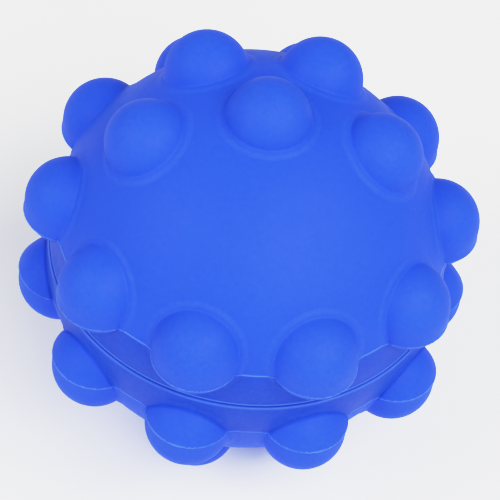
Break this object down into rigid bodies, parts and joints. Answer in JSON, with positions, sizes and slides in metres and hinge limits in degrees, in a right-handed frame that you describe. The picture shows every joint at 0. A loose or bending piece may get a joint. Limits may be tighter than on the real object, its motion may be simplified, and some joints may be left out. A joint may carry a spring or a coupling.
{
  "type": "stress ball",
  "caption": "Round silicone stress ball made of two bonded half shells covered in dome bubbles that press inwards under a fingertip.",
  "frame": {"origin": "centre of the ball, on the seam plane between the two half shells", "axes": "+Z along the mould axis through both pole bubbles, -Y towards the middle of the bare patch of the upper half"},
  "size_m": [0.067, 0.0646, 0.0698],
  "materials": {
    "silicone": "matte blue moulded silicone",
    "silicone_adhesive": "cured silicone adhesive"
  },
  "bodies": {
    "ball": {"upper_half_shell": "silicone", "lower_half_shell": "silicone", "seam_adhesive": "silicone_adhesive"},
    "upper_pole_bubble": {"upper_pole_bubble": "silicone"},
    "upper_shoulder_bubble_1": {"upper_shoulder_bubble_1": "silicone"},
    "upper_shoulder_bubble_2": {"upper_shoulder_bubble_2": "silicone"},
    "upper_shoulder_bubble_3": {"upper_shoulder_bubble_3": "silicone"},
    "upper_shoulder_bubble_4": {"upper_shoulder_bubble_4": "silicone"},
    "upper_rim_bubble_1": {"upper_rim_bubble_1": "silicone"},
    "upper_rim_bubble_2": {"upper_rim_bubble_2": "silicone"},
    "upper_rim_bubble_3": {"upper_rim_bubble_3": "silicone"},
    "upper_rim_bubble_4": {"upper_rim_bubble_4": "silicone"},
    "upper_rim_bubble_5": {"upper_rim_bubble_5": "silicone"},
    "upper_rim_bubble_6": {"upper_rim_bubble_6": "silicone"},
    "upper_rim_bubble_7": {"upper_rim_bubble_7": "silicone"},
    "upper_rim_bubble_8": {"upper_rim_bubble_8": "silicone"},
    "upper_rim_bubble_9": {"upper_rim_bubble_9": "silicone"},
    "upper_rim_bubble_10": {"upper_rim_bubble_10": "silicone"},
    "lower_pole_bubble": {"lower_pole_bubble": "silicone"},
    "lower_shoulder_bubble_1": {"lower_shoulder_bubble_1": "silicone"},
    "lower_shoulder_bubble_2": {"lower_shoulder_bubble_2": "silicone"},
    "lower_shoulder_bubble_3": {"lower_shoulder_bubble_3": "silicone"},
    "lower_shoulder_bubble_4": {"lower_shoulder_bubble_4": "silicone"},
    "lower_rim_bubble_1": {"lower_rim_bubble_1": "silicone"},
    "lower_rim_bubble_2": {"lower_rim_bubble_2": "silicone"},
    "lower_rim_bubble_3": {"lower_rim_bubble_3": "silicone"},
    "lower_rim_bubble_4": {"lower_rim_bubble_4": "silicone"},
    "lower_rim_bubble_5": {"lower_rim_bubble_5": "silicone"},
    "lower_rim_bubble_6": {"lower_rim_bubble_6": "silicone"},
    "lower_rim_bubble_7": {"lower_rim_bubble_7": "silicone"},
    "lower_rim_bubble_8": {"lower_rim_bubble_8": "silicone"},
    "lower_rim_bubble_9": {"lower_rim_bubble_9": "silicone"},
    "lower_rim_bubble_10": {"lower_rim_bubble_10": "silicone"}
  },
  "joints": [
    {"name": "upper_pole_bubble_press", "type": "slide", "parent": "ball", "child": "upper_pole_bubble", "axis": [0, 0, -1], "range_m": [0, 0.006]},
    {"name": "upper_shoulder_bubble_1_press", "type": "slide", "parent": "ball", "child": "upper_shoulder_bubble_1", "axis": [-0.583, 0.0255, -0.8121], "range_m": [0, 0.006]},
    {"name": "upper_shoulder_bubble_2_press", "type": "slide", "parent": "ball", "child": "upper_shoulder_bubble_2", "axis": [-0.2891, -0.4335, -0.8536], "range_m": [0, 0.006]},
    {"name": "upper_shoulder_bubble_3_press", "type": "slide", "parent": "ball", "child": "upper_shoulder_bubble_3", "axis": [0.2891, -0.4335, -0.8536], "range_m": [0, 0.006]},
    {"name": "upper_shoulder_bubble_4_press", "type": "slide", "parent": "ball", "child": "upper_shoulder_bubble_4", "axis": [0.583, 0.0255, -0.8121], "range_m": [0, 0.006]},
    {"name": "upper_rim_bubble_1_press", "type": "slide", "parent": "ball", "child": "upper_rim_bubble_1", "axis": [-0.2939, 0.9045, -0.309], "range_m": [0, 0.006]},
    {"name": "upper_rim_bubble_2_press", "type": "slide", "parent": "ball", "child": "upper_rim_bubble_2", "axis": [-0.7694, 0.559, -0.309], "range_m": [0, 0.006]},
    {"name": "upper_rim_bubble_3_press", "type": "slide", "parent": "ball", "child": "upper_rim_bubble_3", "axis": [-0.9511, 0, -0.309], "range_m": [0, 0.006]},
    {"name": "upper_rim_bubble_4_press", "type": "slide", "parent": "ball", "child": "upper_rim_bubble_4", "axis": [-0.7694, -0.559, -0.309], "range_m": [0, 0.006]},
    {"name": "upper_rim_bubble_5_press", "type": "slide", "parent": "ball", "child": "upper_rim_bubble_5", "axis": [-0.2939, -0.9045, -0.309], "range_m": [0, 0.006]},
    {"name": "upper_rim_bubble_6_press", "type": "slide", "parent": "ball", "child": "upper_rim_bubble_6", "axis": [0.2939, -0.9045, -0.309], "range_m": [0, 0.006]},
    {"name": "upper_rim_bubble_7_press", "type": "slide", "parent": "ball", "child": "upper_rim_bubble_7", "axis": [0.7694, -0.559, -0.309], "range_m": [0, 0.006]},
    {"name": "upper_rim_bubble_8_press", "type": "slide", "parent": "ball", "child": "upper_rim_bubble_8", "axis": [0.9511, 0, -0.309], "range_m": [0, 0.006]},
    {"name": "upper_rim_bubble_9_press", "type": "slide", "parent": "ball", "child": "upper_rim_bubble_9", "axis": [0.7694, 0.559, -0.309], "range_m": [0, 0.006]},
    {"name": "upper_rim_bubble_10_press", "type": "slide", "parent": "ball", "child": "upper_rim_bubble_10", "axis": [0.2939, 0.9045, -0.309], "range_m": [0, 0.006]},
    {"name": "lower_pole_bubble_press", "type": "slide", "parent": "ball", "child": "lower_pole_bubble", "axis": [0, 0, 1], "range_m": [0, 0.006]},
    {"name": "lower_shoulder_bubble_1_press", "type": "slide", "parent": "ball", "child": "lower_shoulder_bubble_1", "axis": [0.1967, 0.5494, 0.8121], "range_m": [0, 0.006]},
    {"name": "lower_shoulder_bubble_2_press", "type": "slide", "parent": "ball", "child": "lower_shoulder_bubble_2", "axis": [-0.3286, 0.4043, 0.8536], "range_m": [0, 0.006]},
    {"name": "lower_shoulder_bubble_3_press", "type": "slide", "parent": "ball", "child": "lower_shoulder_bubble_3", "axis": [-0.4996, -0.148, 0.8536], "range_m": [0, 0.006]},
    {"name": "lower_shoulder_bubble_4_press", "type": "slide", "parent": "ball", "child": "lower_shoulder_bubble_4", "axis": [-0.1481, -0.5644, 0.8121], "range_m": [0, 0.006]},
    {"name": "lower_rim_bubble_1_press", "type": "slide", "parent": "ball", "child": "lower_rim_bubble_1", "axis": [0.951, 0.0133, 0.309], "range_m": [0, 0.006]},
    {"name": "lower_rim_bubble_2_press", "type": "slide", "parent": "ball", "child": "lower_rim_bubble_2", "axis": [0.7615, 0.5697, 0.309], "range_m": [0, 0.006]},
    {"name": "lower_rim_bubble_3_press", "type": "slide", "parent": "ball", "child": "lower_rim_bubble_3", "axis": [0.2812, 0.9085, 0.309], "range_m": [0, 0.006]},
    {"name": "lower_rim_bubble_4_press", "type": "slide", "parent": "ball", "child": "lower_rim_bubble_4", "axis": [-0.3065, 0.9003, 0.309], "range_m": [0, 0.006]},
    {"name": "lower_rim_bubble_5_press", "type": "slide", "parent": "ball", "child": "lower_rim_bubble_5", "axis": [-0.7772, 0.5482, 0.309], "range_m": [0, 0.006]},
    {"name": "lower_rim_bubble_6_press", "type": "slide", "parent": "ball", "child": "lower_rim_bubble_6", "axis": [-0.951, -0.0133, 0.309], "range_m": [0, 0.006]},
    {"name": "lower_rim_bubble_7_press", "type": "slide", "parent": "ball", "child": "lower_rim_bubble_7", "axis": [-0.7615, -0.5697, 0.309], "range_m": [0, 0.006]},
    {"name": "lower_rim_bubble_8_press", "type": "slide", "parent": "ball", "child": "lower_rim_bubble_8", "axis": [-0.2812, -0.9085, 0.309], "range_m": [0, 0.006]},
    {"name": "lower_rim_bubble_9_press", "type": "slide", "parent": "ball", "child": "lower_rim_bubble_9", "axis": [0.3065, -0.9003, 0.309], "range_m": [0, 0.006]},
    {"name": "lower_rim_bubble_10_press", "type": "slide", "parent": "ball", "child": "lower_rim_bubble_10", "axis": [0.7772, -0.5482, 0.309], "range_m": [0, 0.006]}
  ]
}
